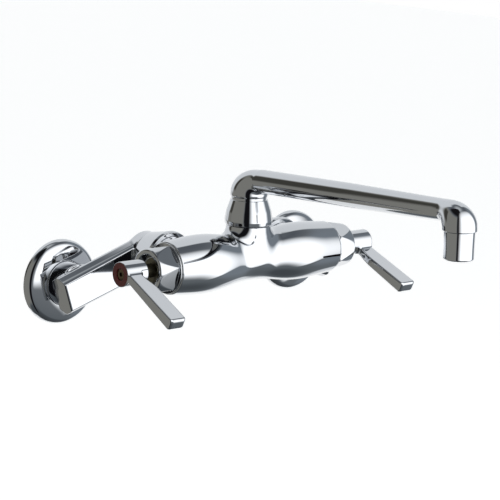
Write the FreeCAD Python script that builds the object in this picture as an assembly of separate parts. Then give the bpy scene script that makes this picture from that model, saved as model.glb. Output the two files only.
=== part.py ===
import FreeCAD, Part
import math
import os

V = FreeCAD.Vector

# A wall-mounted two-handle sink faucet with adjustable supply arms and a swing spout.
# Millimetres. The shared frame has +X to the right along the body, +Y into the wall and +Z up,
# with its origin in the wall plane, midway between the two wall inlets.
# Each function below builds its piece about the body's own centre: X is the body axis and
# Z = 0 is its height. place() then moves the piece into the shared frame.

# How the body stands off the wall, and how the two arms reach out to the wall inlets
body_stand_off = 76.2
body_inlet_centres = 101.6
arm_length = 59.05
arm_fall_degrees = 17.9

# Clearances: a running fit between a turning piece and its bore, and a gap between flat faces
running_gap = 0.08
face_gap = 0.25
fitted_gap = 0.04

# Body casting: half of its outline as distance from the centre and radius
barrel_outline = [(0, 15.9), (12, 16.4), (24, 18.3), (36, 19.9), (48, 20.2), (60, 19.4)]
barrel_end = 72.6
barrel_end_radius = 18.3
mixing_bore_radius = 8.0
port_radius = 5.2
chamber_radius = 12.5
chamber_floor = 38.0
bonnet_thread_radius = 14.4
bonnet_thread_depth = 11.5

# Neck that carries the spout
neck_radius = 15.3
neck_shoulder = 23.2
neck_blend = 5.5
neck_thread_radius = 13.0
neck_top = 33.0
swivel_bore_radius = 10.7

# Rear inlets of the body and their union nuts
inlet_boss_radius = 16.0
inlet_boss_end = 21.6
union_thread_radius = 13.5
union_thread_length = 9.6
inlet_bore_radius = 6.5
union_nut_length = 20.6
union_nut_big_radius = 19.7
union_nut_small_radius = 16.3
union_nut_round = 1.6
union_washer_thickness = 2.0
tail_collar_radius = 12.4
tail_collar_thickness = 3.6
tail_radius = 9.4
tail_grip = 6.0

# Supply arms: a flat-fronted bar between a round eye at the body and a boss at the wall
eye_radius = 15.6
eye_thickness = 12.5
eye_back_chamfer = 3.0
bar_front_setback = 0.9
bar_front_width_at_eye = 23.2
bar_front_width_at_wall = 21.4
bar_middle_width_at_eye = 27.8
bar_middle_width_at_wall = 27.8
bar_back_width = 21.5
bar_middle_depth = 7.5
bar_depth_at_eye = 11.5
bar_depth_at_wall = 14.0
bar_overrun = 16.2
bar_edge_chamfer = 1.1
arm_waterway_radius = 3.8
boss_radius = 15.6
boss_setback = 1.4
boss_to_wall = 3.5
wall_thread_radius = 9.15
wall_thread_length = 15.0

# Wall flanges: a short straight side, a tight bend and a shallow dome up to the hole.
# A slope is measured from the wall's plane.
flange_radius = 29.55
flange_side_height = 1.3
flange_bend_radius = 6.0
flange_bend_end_slope_degrees = 20.0
flange_hole_slope_degrees = 5.0
flange_wall = 1.2

# Bonnet nuts: a hexagon under a long cone, chamfered behind and with a dished end
bonnet_flats = 30.0
bonnet_back_chamfer = 1.8
bonnet_collar_radius = 17.6
bonnet_collar_thickness = 1.0
bonnet_end = 89.5
bonnet_cone_start_radius = 17.4
bonnet_cone_end_radius = 15.0
bonnet_end_round = 1.4
bonnet_dish_radius = 11.6
bonnet_dish_floor_radius = 8.9
bonnet_dish_depth = 5.0
bonnet_turn_left = 11.6
bonnet_turn_right = 30.0

# Quarter-turn cartridges
cartridge_flange_radius = 13.9
cartridge_flange_thickness = 2.4
cartridge_waist_radius = 10.4
cartridge_floor_thickness = 2.0
cartridge_bore_radius = 8.0
cartridge_foot_thickness = 2.5
cartridge_seal_land = 5.0
guide_radius = 8.4
guide_end = 85.0
window_width = 6.0
window_length = 5.0
stem_radius = 4.8
stem_head_radius = 7.9
stem_head_length = 6.0
stem_square = 6.6
plunger_length = 8.0
plunger_lift = 2.2
seat_washer_radius = 6.6
seat_washer_thickness = 2.0
seal_section = 1.7
stem_seal_section = 1.4
stem_seal_place = 74.0

# Lever handles, index rings and handle screws
hub_radius = 8.6
hub_start = 94.0
hub_end = 112.2
hub_round = 0.5
lever_length = 59.0
lever_drop_degrees = 25.0
lever_outer_edge_inset = 0.6
lever_root_width = 11.1
lever_tip_width = 13.4
lever_flare_start = 9.0
lever_flare_end = 24.0
lever_flare_round = 18.0
lever_top_at_root = 5.1
lever_top_at_tip = 3.6
lever_bottom_at_root = -0.4
lever_bottom_at_tip = -4.5
lever_nose_round = 2.4
lever_corner_round = 2.8
ring_thickness = 1.6
ring_hole_radius = 4.1
ring_rim = 0.45
screw_head_radius = 3.7
screw_head_height = 2.6
screw_radius = 2.0
screw_length = 11.0
screw_socket_flats = 2.8
screw_socket_depth = 1.5

# Spout: a cast tube with a fat elbow over the neck and a flared elbow at the outlet
spout_reach = 203.2
spout_rise_degrees = 2.3
spout_foot = 43.5
column_radius = 13.2
column_height = 2.2
column_corner = 1.4
run_radius_near = 8.2
run_radius_middle = 8.1
run_radius_late = 7.5
run_radius_far = 7.1
run_stations = ((0, run_radius_near), (0.5, run_radius_middle), (0.8, run_radius_late), (1, run_radius_far))
outlet_radius = 11.2
outlet_corner = 3.4
outlet_lip = 0.6
spout_wall = 2.2
swivel_post_end = 9.0
swivel_post_bore = 7.6
swivel_seal_places = (14.0, 21.0)
retainer_radius = 12.6
retainer_thickness = 2.0
retainer_slit = 1.6
elbow_steps = 8
elbow_settle_degrees = 81.0

# Spout nut: a tapered round nut with a short plain collar on top
spout_nut_foot_radius = 16.2
spout_nut_foot_round = 1.1
spout_nut_low_height = 3.15
spout_nut_low_radius = 16.75
spout_nut_low_round = 2.0
spout_nut_taper_height = 7.05
spout_nut_taper_radius = 15.95
spout_nut_taper_round = 6.0
spout_nut_high_radius = 13.0
spout_nut_cone_top = 41.2
spout_nut_collar_radius = 12.5
spout_nut_lip_start = 35.4

# Aerator
aerator_radius = 10.0
aerator_low_radius = 9.8
aerator_height = 18.6
aerator_round = 1.6
aerator_thread_radius = 9.1
aerator_thread_length = 4.5
aerator_bore_radius = 7.9
aerator_mouth_radius = 7.2
aerator_insert_height = 9.0
aerator_washer_thickness = 1.6
aerator_screen_hole = 0.9
aerator_screen_pitch = 2.4
aerator_screen_row_count = 2

# Sizes that follow from the ones above
half_inlets = body_inlet_centres / 2
arm_fall = math.radians(arm_fall_degrees)
arm_drop = arm_length * math.sin(arm_fall)
union_face = inlet_boss_end + union_thread_length
tail_front = union_face + union_washer_thickness
tail_collar_back = tail_front + tail_collar_thickness
union_nut_front = inlet_boss_end + face_gap
union_nut_back = union_nut_front + union_nut_length
union_lip_front = tail_collar_back + face_gap
eye_front = union_nut_back + face_gap
bar_front = eye_front + bar_front_setback
bonnet_shank_end = barrel_end - bonnet_thread_depth + cartridge_flange_thickness
hex_start = barrel_end + bonnet_collar_thickness
cartridge_flange_start = barrel_end - bonnet_thread_depth
washer_start = chamber_floor + cartridge_floor_thickness + face_gap
plunger_start = washer_start + seat_washer_thickness
stem_head_start = plunger_start + plunger_length + plunger_lift + face_gap
stem_head_end = stem_head_start + stem_head_length
ring_start = hub_end - ring_thickness
screw_head_start = ring_start - screw_head_height + ring_thickness / 2
stem_end = screw_head_start - face_gap - 3.0


def outline(corners):
    """Closed outline in the XZ plane; a third value in a corner is its rounding radius."""
    spans = []
    count = len(corners)
    for index, corner in enumerate(corners):
        here = V(corner[0], 0, corner[1])
        last = corners[index - 1]
        following = corners[(index + 1) % count]
        back = (V(last[0], 0, last[1]) - here).normalize()
        ahead = (V(following[0], 0, following[1]) - here).normalize()
        if len(corner) < 3:
            spans.append((here, None, here))
            continue
        half_angle = back.getAngle(ahead) / 2
        reach = corner[2] / math.tan(half_angle)
        inward = (back + ahead).normalize()
        middle = here + inward * (corner[2] / math.sin(half_angle) - corner[2])
        spans.append((here + back * reach, middle, here + ahead * reach))
    edges = []
    for index, (start, middle, end) in enumerate(spans):
        if middle:
            edges.append(Part.Arc(start, middle, end).toShape())
        edges.append(Part.LineSegment(end, spans[(index + 1) % count][0]).toShape())
    return Part.Face(Part.Wire(edges))


def turned(corners):
    """Solid turned about the X axis from (distance along X, radius) corners."""
    return outline(corners).revolve(V(0, 0, 0), V(1, 0, 0), 360)


def upright(shape):
    """Turn a piece made about the X axis so that it stands along +Z."""
    return shape.rotated(V(0, 0, 0), V(0, 1, 0), -90)


def rearward(shape):
    """Turn a piece made about the X axis so that it points along +Y."""
    return shape.rotated(V(0, 0, 0), V(0, 0, 1), 90)


def moved(shape, x=0, y=0, z=0):
    return shape.translated(V(x, y, z))


def mirrored(shape):
    return shape.mirror(V(0, 0, 0), V(1, 0, 0))


def tube(start, end, outer, inner):
    """Plain ring along X."""
    return turned([(start, inner), (end, inner), (end, outer), (start, outer)])


def rod(start, end, radius):
    """Plain round bar along X."""
    return Part.makeCylinder(radius, end - start, V(start, 0, 0), V(1, 0, 0))


def seal_ring(place, outer_radius, section):
    """O-ring about the X axis whose outside just reaches the given radius."""
    return Part.makeTorus(outer_radius - section / 2, section / 2, V(place, 0, 0), V(1, 0, 0))


def seal_groove(place, outer_radius, section):
    """Ring to cut from a shaft so that the O-ring lies in it."""
    floor = outer_radius - section
    return tube(place - section * 0.6, place + section * 0.6, outer_radius + 1, floor)


def hexagon(start, end, flats, turn_degrees):
    """Six-sided bar along X with a corner at the given angle from the front."""
    corner = flats / math.sqrt(3)
    points = []
    for step in range(7):
        angle = math.radians(turn_degrees + 60 * step)
        points.append(V(start, -corner * math.cos(angle), corner * math.sin(angle)))
    return Part.Face(Part.makePolygon(points)).extrude(V(end - start, 0, 0))


def barrel():
    """Waisted body of revolution about the X axis."""
    right = barrel_outline[1:] + [(barrel_end, barrel_end_radius)]
    left = [(-x, radius) for x, radius in reversed(right)]
    points = [V(x, 0, radius) for x, radius in left + [barrel_outline[0]] + right]
    curve = Part.BSplineCurve()
    curve.interpolate(points)
    low = V(-barrel_end, 0, 0)
    high = V(barrel_end, 0, 0)
    edges = [
        curve.toShape(),
        Part.LineSegment(points[-1], high).toShape(),
        Part.LineSegment(high, low).toShape(),
        Part.LineSegment(low, points[0]).toShape(),
    ]
    return Part.Face(Part.Wire(edges)).revolve(V(0, 0, 0), V(1, 0, 0), 360)


def faucet_body():
    """Casting: barrel, neck and two rear inlets, bored for cartridges, spout and supplies."""
    shell = barrel().fuse(upright(rod(0, neck_shoulder, neck_radius)))
    seam = [edge for edge in shell.Edges if is_neck_seam(edge)]
    shell = shell.makeFillet(neck_blend, seam)
    shell = shell.fuse(upright(rod(neck_shoulder - 1, neck_top, neck_thread_radius)))
    for x in (-half_inlets, half_inlets):
        shell = shell.fuse(moved(rearward(rod(0, inlet_boss_end, inlet_boss_radius)), x))
        shell = shell.fuse(moved(rearward(rod(0, union_face, union_thread_radius)), x))
    hollow = rod(-chamber_floor + 4, chamber_floor - 4, mixing_bore_radius)
    hollow = hollow.fuse(rod(-chamber_floor - 1, chamber_floor + 1, port_radius))
    chamber = rod(chamber_floor, barrel_end + 1, chamber_radius)
    thread = rod(cartridge_flange_start, barrel_end + 1, bonnet_thread_radius)
    for half in (chamber.fuse(thread), mirrored(chamber.fuse(thread))):
        hollow = hollow.fuse(half)
    hollow = hollow.fuse(upright(rod(0, neck_top + 1, swivel_bore_radius)))
    for x in (-half_inlets, half_inlets):
        hollow = hollow.fuse(moved(rearward(rod(0, union_face + 1, inlet_bore_radius)), x))
    return shell.cut(hollow)


def is_neck_seam(edge):
    """True for the edges where the neck runs into the barrel."""
    box = edge.BoundBox
    inside = box.XMax < neck_radius + 1 and box.XMin > -neck_radius - 1
    low = 1 < box.ZMin and box.ZMax < neck_shoulder - 2
    return inside and low and edge.Length > neck_radius / 3


def union_nut():
    """Tapered round nut that holds a supply arm's tail against a rear inlet."""
    taper = [
        (union_nut_front, union_nut_big_radius - union_nut_round / 2, 0.6),
        (union_nut_front + 1.5 * union_nut_round, union_nut_big_radius, union_nut_round),
        (union_nut_back, union_nut_small_radius, 0.8),
        (union_nut_back, tail_radius + running_gap),
        (union_lip_front, tail_radius + running_gap),
        (union_lip_front, union_thread_radius + fitted_gap),
        (union_nut_front, union_thread_radius + fitted_gap),
    ]
    return rearward(turned(taper))


def union_washer():
    return rearward(tube(union_face, tail_front, tail_collar_radius, inlet_bore_radius + 0.5))


def union_tail():
    """Flanged tail that the union nut clamps, pressed into the eye of the supply arm."""
    corners = [
        (tail_front, inlet_bore_radius),
        (eye_front + tail_grip, inlet_bore_radius),
        (eye_front + tail_grip, tail_radius),
        (tail_collar_back, tail_radius),
        (tail_collar_back, tail_collar_radius, 0.5),
        (tail_front, tail_collar_radius, 0.5),
    ]
    return rearward(turned(corners))


def bar_section(along, front_width, middle_width, depth):
    """Six-sided section of the arm's bar, square to its length."""
    half_widths = (front_width / 2, middle_width / 2, bar_back_width / 2)
    depths = (bar_front, bar_front + bar_middle_depth, bar_front + depth)
    upper = [V(along, y, w) for w, y in zip(half_widths, depths)]
    lower = [V(along, y, -w) for w, y in zip(half_widths, depths)]
    points = upper + lower[::-1]
    return Part.makePolygon(points + points[:1])


def supply_arm():
    """Arm along +X from the body inlet, before it is turned down to its fall."""
    near = bar_section(0, bar_front_width_at_eye, bar_middle_width_at_eye, bar_depth_at_eye)
    far = bar_section(
        arm_length + bar_overrun,
        bar_front_width_at_wall,
        bar_middle_width_at_wall,
        bar_depth_at_wall,
    )
    bar = Part.makeLoft([near, far], True, True)
    front = min(bar.Faces, key=lambda face: face.CenterOfMass.y)
    bar = bar.makeChamfer(bar_edge_chamfer, front.Edges)
    eye_back = eye_front + eye_thickness
    eye = rearward(turned([
        (eye_front, 0),
        (eye_back, 0),
        (eye_back, eye_radius - eye_back_chamfer, 1.5),
        (eye_back - eye_back_chamfer, eye_radius, 1.5),
        (eye_front, eye_radius, 0.8),
    ]))
    boss_start = bar_front + bar_middle_depth + boss_setback
    boss_end = body_stand_off - boss_to_wall
    boss = rearward(turned([
        (boss_start, 0),
        (boss_end, 0),
        (boss_end, boss_radius, 0.8),
        (boss_start, boss_radius, 1.2),
    ]))
    boss = moved(boss, arm_length)
    solid = bar.fuse(eye).fuse(boss)
    waterway_depth = bar_front + bar_depth_at_eye / 2
    bore = moved(rod(0, arm_length, arm_waterway_radius), 0, waterway_depth)
    bore = bore.fuse(rearward(rod(eye_front - 1, waterway_depth + 1, inlet_bore_radius)))
    seat = rearward(rod(eye_front - 1, eye_front + tail_grip, tail_radius + fitted_gap))
    thread_start = boss_end - wall_thread_length
    thread = moved(rearward(rod(thread_start, boss_end + 1, wall_thread_radius)), arm_length)
    pilot = moved(rearward(rod(waterway_depth, boss_end, inlet_bore_radius)), arm_length)
    return solid.cut(bore.fuse(seat).fuse(thread).fuse(pilot))


def slope_arc(centre, radius, first, last):
    """Arc of a domed outline about a centre, between two slopes from the wall's plane."""
    points = []
    for slope in (first, (first + last) / 2, last):
        points.append(centre + V(-radius * math.cos(slope), 0, radius * math.sin(slope)))
    return Part.Arc(points[0], points[1], points[2]).toShape()


def wall_flange():
    """Domed plate that covers the hole in the wall, about the wall inlet's axis."""
    wall = body_stand_off
    hole_radius = boss_radius + fitted_gap * 2
    side = math.pi / 2
    bend_end = math.radians(flange_bend_end_slope_degrees)
    hole_slope = math.radians(flange_hole_slope_degrees)
    bend_centre = V(wall - flange_side_height, 0, flange_radius - flange_bend_radius)
    dome_start_radius = flange_radius - flange_bend_radius * (1 - math.sin(bend_end))
    dome_radius = (dome_start_radius - hole_radius) / (math.sin(bend_end) - math.sin(hole_slope))
    offset = dome_radius - flange_bend_radius
    dome_centre = bend_centre + V(offset * math.cos(bend_end), 0, -offset * math.sin(bend_end))
    inner_bend = flange_bend_radius - flange_wall
    inner_dome = dome_radius - flange_wall
    inner_slope = math.asin((hole_radius - dome_centre.z) / inner_dome)
    arcs = [
        slope_arc(bend_centre, flange_bend_radius, side, bend_end),
        slope_arc(dome_centre, dome_radius, bend_end, hole_slope),
        slope_arc(dome_centre, inner_dome, inner_slope, bend_end),
        slope_arc(bend_centre, inner_bend, bend_end, side),
    ]
    foot = [V(wall, 0, flange_radius - flange_wall), V(wall, 0, flange_radius)]
    ends = [(arc.valueAt(arc.FirstParameter), arc.valueAt(arc.LastParameter)) for arc in arcs]
    lines = [(ends[1][1], ends[2][0]), (ends[3][1], foot[0]), (foot[0], foot[1]), (foot[1], ends[0][0])]
    edges = arcs + [Part.LineSegment(first, last).toShape() for first, last in lines]
    section = Part.Face(Part.Wire(Part.sortEdges(edges)[0]))
    return rearward(section.revolve(V(0, 0, 0), V(1, 0, 0), 360))


def bonnet(turn_degrees):
    """Cap nut: threaded shank, thin collar, coned hexagon and dished end."""
    cone = turned([
        (hex_start, 0),
        (bonnet_end, 0),
        (bonnet_end, bonnet_cone_end_radius, bonnet_end_round),
        (hex_start + bonnet_back_chamfer, bonnet_cone_start_radius, 0.3),
        (hex_start, bonnet_flats / 2),
    ])
    head = hexagon(hex_start, bonnet_end, bonnet_flats, turn_degrees).common(cone)
    collar = turned([
        (barrel_end + face_gap / 2, 0),
        (hex_start, 0),
        (hex_start, bonnet_collar_radius, 0.3),
        (barrel_end + face_gap / 2, bonnet_collar_radius, 0.3),
    ])
    shank = rod(bonnet_shank_end, barrel_end + 1, bonnet_thread_radius - fitted_gap)
    bore = rod(bonnet_shank_end - 1, bonnet_end, guide_radius + fitted_gap)
    dish = turned([
        (bonnet_end + 1, 0),
        (bonnet_end - bonnet_dish_depth, 0),
        (bonnet_end - bonnet_dish_depth, bonnet_dish_floor_radius),
        (bonnet_end - bonnet_dish_depth + 1.5, bonnet_dish_floor_radius + 1.2, 1.0),
        (bonnet_end, bonnet_dish_radius),
        (bonnet_end + 1, bonnet_dish_radius + 1),
    ])
    return head.fuse(collar).fuse(shank).cut(bore.fuse(dish))


def cartridge_housing():
    """Sleeve with a seat at its inner end, side windows and a long stem guide."""
    sleeve_end = cartridge_flange_start
    neck_start = stem_head_end + face_gap
    outer = turned([
        (chamber_floor, 0),
        (guide_end, 0),
        (guide_end, guide_radius, 0.5),
        (bonnet_shank_end - face_gap / 2, guide_radius),
        (bonnet_shank_end - face_gap / 2, cartridge_flange_radius),
        (sleeve_end, cartridge_flange_radius),
        (sleeve_end, chamber_radius - fitted_gap),
        (sleeve_end - cartridge_seal_land, chamber_radius - fitted_gap),
        (sleeve_end - cartridge_seal_land, cartridge_waist_radius),
        (chamber_floor + cartridge_foot_thickness, cartridge_waist_radius),
        (chamber_floor + cartridge_foot_thickness, chamber_radius - fitted_gap),
        (chamber_floor, chamber_radius - fitted_gap),
    ])
    inner = rod(chamber_floor - 1, neck_start, port_radius - 0.7)
    inner = inner.fuse(rod(chamber_floor + cartridge_floor_thickness, neck_start, cartridge_bore_radius))
    inner = inner.fuse(rod(neck_start - 1, guide_end + 1, stem_radius + running_gap))
    window = Part.makeBox(
        window_length,
        4 * chamber_radius,
        window_width,
        V(plunger_start + 0.5, -2 * chamber_radius, -window_width / 2),
    )
    inner = inner.fuse(window).fuse(window.rotated(V(0, 0, 0), V(1, 0, 0), 90))
    place = sleeve_end - cartridge_seal_land / 2
    inner = inner.fuse(seal_groove(place, chamber_radius - fitted_gap, seal_section))
    return outer.cut(inner)


def housing_seal():
    place = cartridge_flange_start - cartridge_seal_land / 2
    return seal_ring(place, chamber_radius - fitted_gap, seal_section)


def stem():
    """Turning spindle with a cam head inside the cartridge and a square drive in the hub."""
    solid = rod(stem_head_start, stem_head_end, stem_head_radius - running_gap)
    solid = solid.fuse(rod(stem_head_start, stem_end, stem_radius))
    solid = solid.cut(seal_groove(stem_seal_place, stem_radius + running_gap / 2, stem_seal_section))
    keep = rod(0, hub_start - face_gap, stem_head_radius + 1)
    keep = keep.fuse(square_bar(hub_start - 1, stem_end + 1, stem_square))
    tapped = rod(stem_end - screw_length, stem_end + 1, screw_radius + fitted_gap)
    return solid.common(keep).cut(tapped)


def square_bar(start, end, side):
    return Part.makeBox(end - start, side, side, V(start, -side / 2, -side / 2))


def stem_seal():
    return seal_ring(stem_seal_place, stem_radius + running_gap / 2, stem_seal_section)


def plunger():
    """Sliding piston that the cam head lifts off the seat."""
    end = plunger_start + plunger_length
    body = rod(plunger_start, end, cartridge_bore_radius - running_gap)
    slot = square_bar(end - 3, end + 1, stem_radius)
    return body.cut(slot)


def seat_washer():
    return tube(washer_start, plunger_start - 0.02, seat_washer_radius, 1.0)


def lever_blade():
    """Level blade along -Y: its outline from above crossed with its outline from the side."""
    outer = hub_end - lever_outer_edge_inset
    root = outer - lever_root_width
    tip = outer - lever_tip_width
    plan = outline([
        (outer, 0),
        (outer, lever_length, lever_corner_round),
        (tip, lever_length, lever_corner_round),
        (tip, lever_flare_end, lever_flare_round),
        ((root + tip) / 2, (lever_flare_start + lever_flare_end) / 2),
        (root, lever_flare_start, lever_flare_round),
        (root, 0),
    ])
    plan = plan.extrude(V(0, 2 * hub_radius, 0))
    plan = moved(plan, 0, -hub_radius).rotated(V(0, 0, 0), V(1, 0, 0), 90)
    side = outline([
        (0, lever_bottom_at_root),
        (lever_length, lever_bottom_at_tip, lever_nose_round),
        (lever_length, lever_top_at_tip, lever_nose_round),
        (0, lever_top_at_root),
    ])
    side = side.extrude(V(0, 2 * hub_end, 0)).rotated(V(0, 0, 0), V(0, 0, 1), -90)
    return plan.common(side)


def lever_handle():
    """Hub on the stem with a flat blade that points forward and falls a little."""
    hub = turned([
        (hub_start, 0),
        (hub_end, 0),
        (hub_end, hub_radius, hub_round),
        (hub_start, hub_radius, hub_round),
    ])
    handle = hub.fuse(lever_blade())
    drive = square_bar(hub_start - 1, stem_end + face_gap, stem_square + 2 * fitted_gap)
    drill = rod(hub_start, hub_end, screw_radius + fitted_gap)
    sink = rod(screw_head_start, hub_end, screw_head_radius + fitted_gap)
    recess = rod(ring_start, hub_end + 1, hub_radius - ring_rim)
    return handle.cut(drive.fuse(drill).fuse(sink).fuse(recess))


def dropped(shape):
    """Turn a piece of the handle down to its resting angle."""
    return shape.rotated(V(0, 0, 0), V(1, 0, 0), lever_drop_degrees)


def turned_over(shape):
    """The same handle for the other side, turned over about the line of its blade."""
    return shape.rotated(V(0, 0, 0), V(0, 1, 0), 180)


def index_ring():
    """Coloured ring on the end of the hub."""
    outer = hub_radius - ring_rim - fitted_gap
    return turned([
        (ring_start, ring_hole_radius),
        (hub_end, ring_hole_radius, 0.3),
        (hub_end, outer, 0.3),
        (ring_start, outer),
    ])


def handle_screw():
    """Socket-head screw that holds the handle on the stem."""
    head_end = screw_head_start + screw_head_height
    solid = turned([
        (screw_head_start - screw_length, 0),
        (head_end, 0),
        (head_end, screw_head_radius, 0.4),
        (screw_head_start, screw_head_radius),
        (screw_head_start, screw_radius),
        (screw_head_start - screw_length, screw_radius, 0.4),
    ])
    socket = hexagon(head_end - screw_socket_depth, head_end + 1, screw_socket_flats, 0)
    return solid.cut(socket)


def ring_at(y, z, angle, radius):
    """Circle whose plane holds the X direction and the direction at the given angle."""
    normal = V(0, -math.sin(angle), math.cos(angle))
    circle = Part.Circle(V(0, y, z), normal, radius)
    circle.XAxis = V(1, 0, 0)
    return Part.Wire(circle.toShape())


def eased(share):
    """Share of a change of radius along a quarter bend, level at both ends and done early."""
    share = min(1, share * 90 / elbow_settle_degrees)
    return share * share * (3 - 2 * share)


def spout_rings(wall):
    """Sections of the near elbow, the run and the far elbow, inset by the wall thickness."""
    rise = math.radians(spout_rise_degrees)
    level = math.pi / 2 - rise
    corner_y = -(column_radius + column_corner)
    corner_z = spout_foot + column_height
    near = []
    for step in range(elbow_steps + 1):
        share = step / elbow_steps
        radius = column_radius + (run_radius_near - column_radius) * eased(share)
        offset = radius + column_corner
        y = corner_y + offset * math.cos(level * share)
        z = corner_z + offset * math.sin(level * share)
        near.append(ring_at(y, z, level * share, radius - wall))
    far_corner_y = -spout_reach + outlet_radius + outlet_corner
    far_offset = run_radius_far + outlet_corner
    length = (y - far_corner_y - far_offset * math.sin(rise)) / math.cos(rise)
    run = []
    for share, radius in run_stations:
        reach = length * share
        ring_y = y - reach * math.cos(rise)
        ring_z = z + reach * math.sin(rise)
        run.append(ring_at(ring_y, ring_z, level, radius - wall))
    far_corner_z = ring_z - far_offset * math.cos(rise)
    far = []
    for step in range(elbow_steps + 1):
        share = step / elbow_steps
        angle = level + (math.pi - level) * share
        radius = run_radius_far + (outlet_radius - run_radius_far) * eased(share)
        offset = radius + outlet_corner
        ring_y = far_corner_y + offset * math.cos(angle)
        ring_z = far_corner_z + offset * math.sin(angle)
        far.append(ring_at(ring_y, ring_z, angle, radius - wall))
    return near, run, far, far_corner_z


def swept(rings):
    """Solid that follows the centres of the rings and takes on each ring in turn."""
    path = Part.BSplineCurve()
    path.interpolate([ring.Edges[0].Curve.Center for ring in rings])
    pipe = Part.BRepOffsetAPI.MakePipeShell(Part.Wire(path.toShape()))
    for ring in rings:
        pipe.add(ring)
    pipe.build()
    pipe.makeSolid()
    return pipe.shape()


def spout_tube(wall):
    """Elbow, run and elbow as one solid."""
    near, run, far, outlet_z = spout_rings(wall)
    solid = swept(near).fuse(swept(far))
    for first, second in zip(run, run[1:]):
        solid = solid.fuse(Part.makeLoft([first, second], True, True))
    return solid


def spout():
    """Cast spout with its swivel post, bored right through."""
    outlet_z = spout_rings(0)[3]
    solid = spout_tube(0).fuse(upright(rod(spout_foot, spout_foot + column_height, column_radius)))
    lip = upright(rod(-outlet_lip, 0, outlet_radius))
    solid = solid.fuse(moved(lip, 0, -spout_reach, outlet_z))
    solid = solid.fuse(upright(rod(swivel_post_end, spout_foot, swivel_bore_radius - running_gap)))
    solid = solid.cut(spout_tube(spout_wall))
    for place in swivel_seal_places:
        groove = seal_groove(place, swivel_bore_radius - running_gap / 2, seal_section)
        solid = solid.cut(upright(groove))
    ring_slot = tube(
        neck_top,
        neck_top + retainer_thickness + 2 * fitted_gap,
        retainer_radius + 1,
        swivel_bore_radius - 1.4,
    )
    solid = solid.cut(upright(ring_slot))
    post_top = spout_foot + column_height + 2
    solid = solid.cut(upright(rod(swivel_post_end - 1, post_top, swivel_post_bore)))
    thread_radius = aerator_thread_radius + fitted_gap
    thread = upright(rod(-outlet_lip - 1, aerator_thread_length + 0.5, thread_radius))
    return solid.cut(moved(thread, 0, -spout_reach, outlet_z))


def outlet_height():
    return spout_rings(0)[3] - outlet_lip


def spout_retainer():
    """Split ring that the spout nut's lip holds down on the neck."""
    ring = tube(
        neck_top + fitted_gap,
        neck_top + retainer_thickness,
        retainer_radius,
        swivel_bore_radius - 1.3,
    )
    slit = Part.makeBox(neck_top, retainer_radius + 1, retainer_slit, V(neck_top, 0, -retainer_slit / 2))
    return upright(ring.cut(slit))


def spout_seals():
    """Two O-rings on the swivel post, kept as one group."""
    rings = []
    for place in swivel_seal_places:
        rings.append(upright(seal_ring(place, swivel_bore_radius - running_gap / 2, seal_section)))
    return Part.makeCompound(rings)


def spout_nut():
    """Tapered nut that holds the spout on the neck."""
    low = neck_shoulder + face_gap
    corners = [
        (low, neck_thread_radius + fitted_gap),
        (low, spout_nut_foot_radius, spout_nut_foot_round),
        (low + spout_nut_low_height, spout_nut_low_radius, spout_nut_low_round),
        (low + spout_nut_taper_height, spout_nut_taper_radius, spout_nut_taper_round),
        (spout_nut_cone_top, spout_nut_high_radius, 0.5),
        (spout_nut_cone_top, spout_nut_collar_radius),
        (spout_foot - face_gap, spout_nut_collar_radius, 0.4),
        (spout_foot - face_gap, swivel_bore_radius),
        (spout_nut_lip_start, swivel_bore_radius),
        (spout_nut_lip_start, neck_thread_radius + fitted_gap),
    ]
    return upright(turned(corners))


def aerator_housing():
    """Screw-in shell about the outlet axis, hanging from the outlet's height."""
    corners = [
        (aerator_thread_length, aerator_bore_radius),
        (aerator_thread_length, aerator_thread_radius),
        (-face_gap, aerator_thread_radius),
        (-face_gap, aerator_radius, 0.4),
        (-aerator_height * 0.6, (aerator_radius + aerator_low_radius) / 2),
        (-aerator_height, aerator_low_radius, aerator_round),
        (-aerator_height, aerator_mouth_radius, 0.3),
        (-aerator_height + 2, aerator_mouth_radius),
        (-aerator_height + 2, aerator_bore_radius),
    ]
    return at_outlet(upright(turned(corners)))


def aerator_insert():
    """Perforated flow straightener inside the shell."""
    low = -aerator_height + 2 + fitted_gap
    high = low + aerator_insert_height
    solid = rod(low, high, aerator_bore_radius - fitted_gap)
    hole = rod(low - 1, high + 1, aerator_screen_hole)
    solid = solid.cut(hole)
    for row in range(1, aerator_screen_row_count + 1):
        radius = row * aerator_screen_pitch
        for step in range(6 * row):
            angle = math.pi * step / 3 / row
            solid = solid.cut(moved(hole, 0, radius * math.cos(angle), radius * math.sin(angle)))
    return at_outlet(upright(solid))


def aerator_washer():
    low = -aerator_height + 2 + 2 * fitted_gap + aerator_insert_height
    outer = aerator_bore_radius - fitted_gap
    return at_outlet(upright(tube(low, low + aerator_washer_thickness, outer, outer - 2.2)))


def at_outlet(shape):
    return moved(shape, 0, -spout_reach, outlet_height())


def place(shape):
    """Move a piece from the body's centre into the shared frame."""
    return moved(shape, 0, -body_stand_off, arm_drop)


def save(name, shape):
    place(shape).exportStep("parts/" + name + ".step")


def fallen(shape):
    """Turn an arm piece down by the arm's fall and put it at the right-hand inlet."""
    return moved(shape.rotated(V(0, 0, 0), V(0, 1, 0), arm_fall_degrees), half_inlets)


def save_pair(piece, shape):
    """Write a right-hand piece as the cold one and its mirror image as the hot one."""
    save("cold_" + piece, shape)
    save("hot_" + piece, mirrored(shape))


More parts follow.
